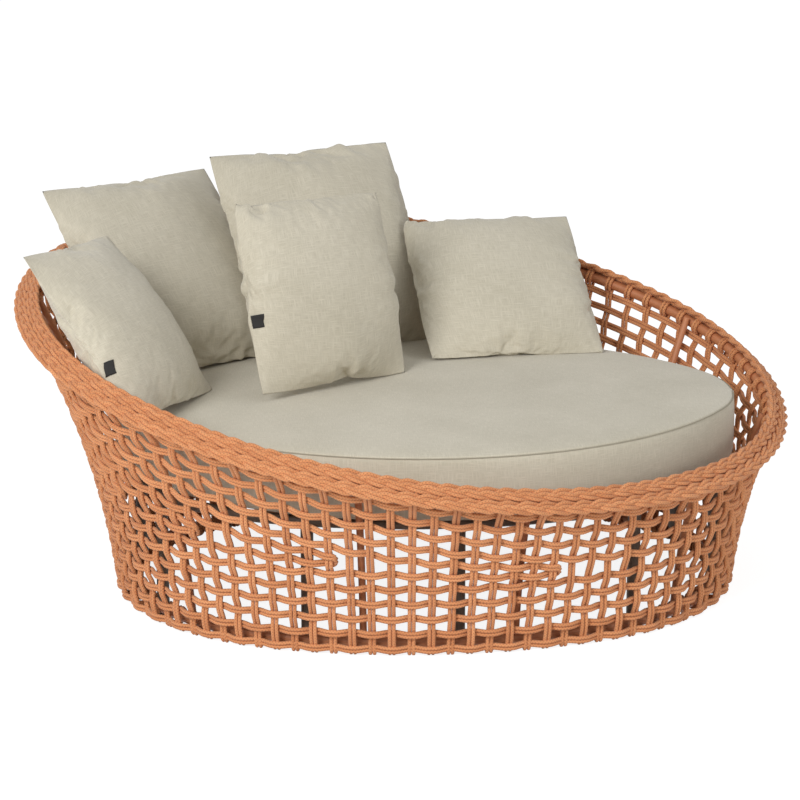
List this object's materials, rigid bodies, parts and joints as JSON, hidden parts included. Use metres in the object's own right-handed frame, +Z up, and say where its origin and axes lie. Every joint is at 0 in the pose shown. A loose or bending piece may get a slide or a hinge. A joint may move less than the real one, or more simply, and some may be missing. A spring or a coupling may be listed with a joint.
{
  "type": "rope chaise lounge",
  "caption": "Low oval lounge with an open basket wall of doubled rope, a plaited rim that rises to the back, a round mattress and loose square cushions.",
  "frame": {"origin": "on the floor, straight below the centre of the tilted rim", "axes": "+X towards the right-hand end, where the rim is lowest; -Y towards the low open front that a person sits down over; +Z up"},
  "size_m": [1.797, 1.5265, 0.9296],
  "materials": {
    "frame_tube": "satin brown",
    "deck_metal": "satin dark grey-brown",
    "deck_slat": "satin dark grey-brown",
    "glide": "matte",
    "stake_rope": "matte twisted rope",
    "row_rope": "matte twisted rope",
    "braid": "matte plaited rope",
    "mattress_cloth": "matte weave",
    "cushion_cloth": "matte weave",
    "label": "matte tape"
  },
  "bodies": {
    "frame": {"base_ring": "frame_tube", "deck_ring": "deck_metal", "rim_ring": "frame_tube", "deck_rail": "deck_metal", "deck_slats": "deck_slat", "glides": "glide", "leg_1": "deck_metal", "leg_2": "deck_metal", "leg_3": "deck_metal", "leg_4": "deck_metal", "leg_5": "deck_metal", "leg_6": "deck_metal", "leg_7": "deck_metal", "leg_8": "deck_metal", "leg_9": "deck_metal", "leg_10": "deck_metal", "upright_1": "frame_tube", "upright_2": "frame_tube", "upright_3": "frame_tube", "upright_4": "frame_tube", "upright_5": "frame_tube", "upright_6": "frame_tube", "upright_7": "frame_tube", "upright_8": "frame_tube", "upright_9": "frame_tube", "upright_10": "frame_tube", "stakes_1": "stake_rope", "stakes_2": "stake_rope", "stakes_3": "stake_rope", "stakes_4": "stake_rope", "stakes_5": "stake_rope", "stakes_6": "stake_rope", "stakes_7": "stake_rope", "stakes_8": "stake_rope", "base_row_ropes": "row_rope", "rim_row_ropes": "row_rope", "short_row_ropes": "row_rope", "rim_braid_inner": "braid", "rim_braid_outer": "braid"},
    "mattress": {"mattress": "mattress_cloth"},
    "cushion_large_left": {"cushion_large_left": "cushion_cloth"},
    "cushion_large_middle": {"cushion_large_middle": "cushion_cloth"},
    "cushion_small_left": {"cushion_small_left": "cushion_cloth", "label_left": "label"},
    "cushion_small_middle": {"cushion_small_middle": "cushion_cloth", "label_middle": "label"},
    "cushion_small_right": {"cushion_small_right": "cushion_cloth"}
  },
  "joints": [
    {"name": "mattress_lift", "type": "slide", "parent": "frame", "child": "mattress", "axis": [0, 0, 1], "range_m": [0, 0.3]},
    {"name": "large_left_lift", "type": "slide", "parent": "mattress", "child": "cushion_large_left", "axis": [-0.633, -0.112, 0.766], "range_m": [0, 0.3]},
    {"name": "large_middle_lift", "type": "slide", "parent": "mattress", "child": "cushion_large_middle", "axis": [-0.2111, 0.3661, 0.9063], "range_m": [0, 0.3]},
    {"name": "small_left_lift", "type": "slide", "parent": "mattress", "child": "cushion_small_left", "axis": [0, -0.5, 0.866], "range_m": [0, 0.3]},
    {"name": "small_middle_lift", "type": "slide", "parent": "mattress", "child": "cushion_small_middle", "axis": [0, -0.5, 0.866], "range_m": [0, 0.3]},
    {"name": "small_right_lift", "type": "slide", "parent": "mattress", "child": "cushion_small_right", "axis": [0, 0, 1], "range_m": [0, 0.3]}
  ]
}
